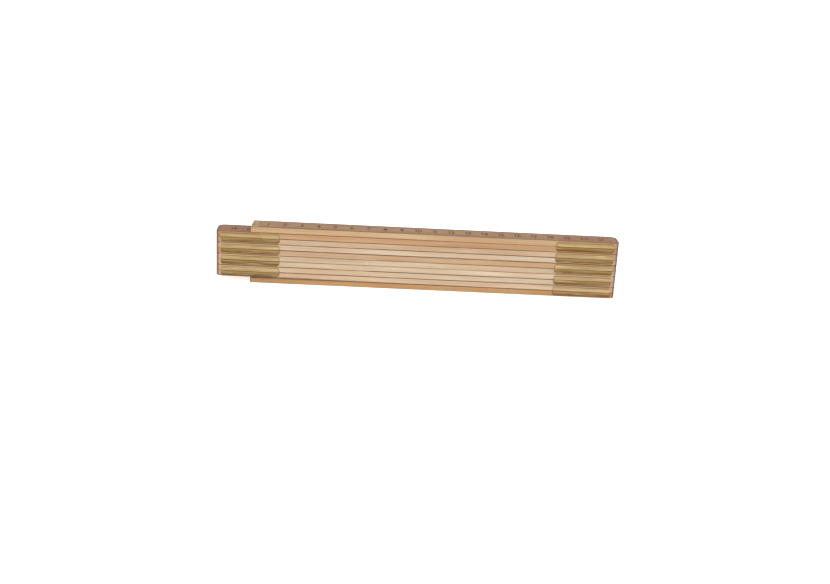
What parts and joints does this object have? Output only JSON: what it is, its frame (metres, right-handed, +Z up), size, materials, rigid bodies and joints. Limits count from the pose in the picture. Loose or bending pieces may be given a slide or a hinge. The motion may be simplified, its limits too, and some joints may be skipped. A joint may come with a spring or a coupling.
{
  "type": "folding rule",
  "caption": "Wooden folding rule: flat legs stacked on edge-flanged, concealed rivet joints, opening one after another into a straight rule.",
  "frame": {"origin": "middle of the folded stack, on the plane its lowest leg rests on", "axes": "+X along the legs, away from the two free ends; +Z up through the stack, along every joint axis"},
  "size_m": [0.241, 0.0172, 0.0345],
  "materials": {
    "beech_pale": "pale beech under clear satin varnish",
    "beech_warm": "pinkish beech under clear satin varnish",
    "beech_tan": "orange-brown beech under clear satin varnish",
    "brass": "brass-plated pressed steel, drawn and slightly tarnished",
    "steel": "bright zinc-plated steel",
    "red_ink": null,
    "ink": null
  },
  "bodies": {
    "leg_01_body": {"leg_01": "beech_warm", "end_cap_01": "brass", "hinge_plate_upper_01": "brass"},
    "leg_02_body": {"leg_02": "beech_tan", "hinge_plate_lower_01": "brass", "rivet_01": "steel", "spring_washer_01": "steel", "hinge_plate_upper_02": "brass"},
    "leg_03_body": {"leg_03": "beech_pale", "hinge_plate_lower_02": "brass", "rivet_02": "steel", "spring_washer_02": "steel", "hinge_plate_upper_03": "brass"},
    "leg_04_body": {"leg_04": "beech_pale", "hinge_plate_lower_03": "brass", "rivet_03": "steel", "spring_washer_03": "steel", "hinge_plate_upper_04": "brass"},
    "leg_05_body": {"leg_05": "beech_warm", "hinge_plate_lower_04": "brass", "rivet_04": "steel", "spring_washer_04": "steel", "hinge_plate_upper_05": "brass"},
    "leg_06_body": {"leg_06": "beech_pale", "hinge_plate_lower_05": "brass", "rivet_05": "steel", "spring_washer_05": "steel", "hinge_plate_upper_06": "brass"},
    "leg_07_body": {"leg_07": "beech_pale", "hinge_plate_lower_06": "brass", "rivet_06": "steel", "spring_washer_06": "steel", "hinge_plate_upper_07": "brass"},
    "leg_08_body": {"leg_08": "beech_pale", "hinge_plate_lower_07": "brass", "rivet_07": "steel", "spring_washer_07": "steel", "hinge_plate_upper_08": "brass"},
    "leg_09_body": {"leg_09": "beech_warm", "hinge_plate_lower_08": "brass", "rivet_08": "steel", "spring_washer_08": "steel", "hinge_plate_upper_09": "brass"},
    "leg_10_body": {"leg_10": "beech_tan", "end_cap_10": "brass", "hinge_plate_lower_09": "brass", "rivet_09": "steel", "spring_washer_09": "steel"}
  },
  "joints": [
    {"name": "joint_09", "type": "hinge", "parent": "leg_10_body", "child": "leg_09_body", "pos_m": [0.1, 0, 0.00341], "axis": [0, 0, 1], "range_deg": [-180, 180]},
    {"name": "joint_08", "type": "hinge", "parent": "leg_09_body", "child": "leg_08_body", "pos_m": [-0.1, 0, 0.00687], "axis": [0, 0, 1], "range_deg": [-180, 180]},
    {"name": "joint_07", "type": "hinge", "parent": "leg_08_body", "child": "leg_07_body", "pos_m": [0.1, 0, 0.01033], "axis": [0, 0, 1], "range_deg": [-180, 180]},
    {"name": "joint_06", "type": "hinge", "parent": "leg_07_body", "child": "leg_06_body", "pos_m": [-0.1, 0, 0.01379], "axis": [0, 0, 1], "range_deg": [-180, 180]},
    {"name": "joint_05", "type": "hinge", "parent": "leg_06_body", "child": "leg_05_body", "pos_m": [0.1, 0, 0.01725], "axis": [0, 0, 1], "range_deg": [-180, 180]},
    {"name": "joint_04", "type": "hinge", "parent": "leg_05_body", "child": "leg_04_body", "pos_m": [-0.1, 0, 0.02071], "axis": [0, 0, 1], "range_deg": [-180, 180]},
    {"name": "joint_03", "type": "hinge", "parent": "leg_04_body", "child": "leg_03_body", "pos_m": [0.1, 0, 0.02417], "axis": [0, 0, 1], "range_deg": [-180, 180]},
    {"name": "joint_02", "type": "hinge", "parent": "leg_03_body", "child": "leg_02_body", "pos_m": [-0.1, 0, 0.02763], "axis": [0, 0, 1], "range_deg": [-180, 180]},
    {"name": "joint_01", "type": "hinge", "parent": "leg_02_body", "child": "leg_01_body", "pos_m": [0.1, 0, 0.03109], "axis": [0, 0, 1], "range_deg": [-180, 180]}
  ]
}
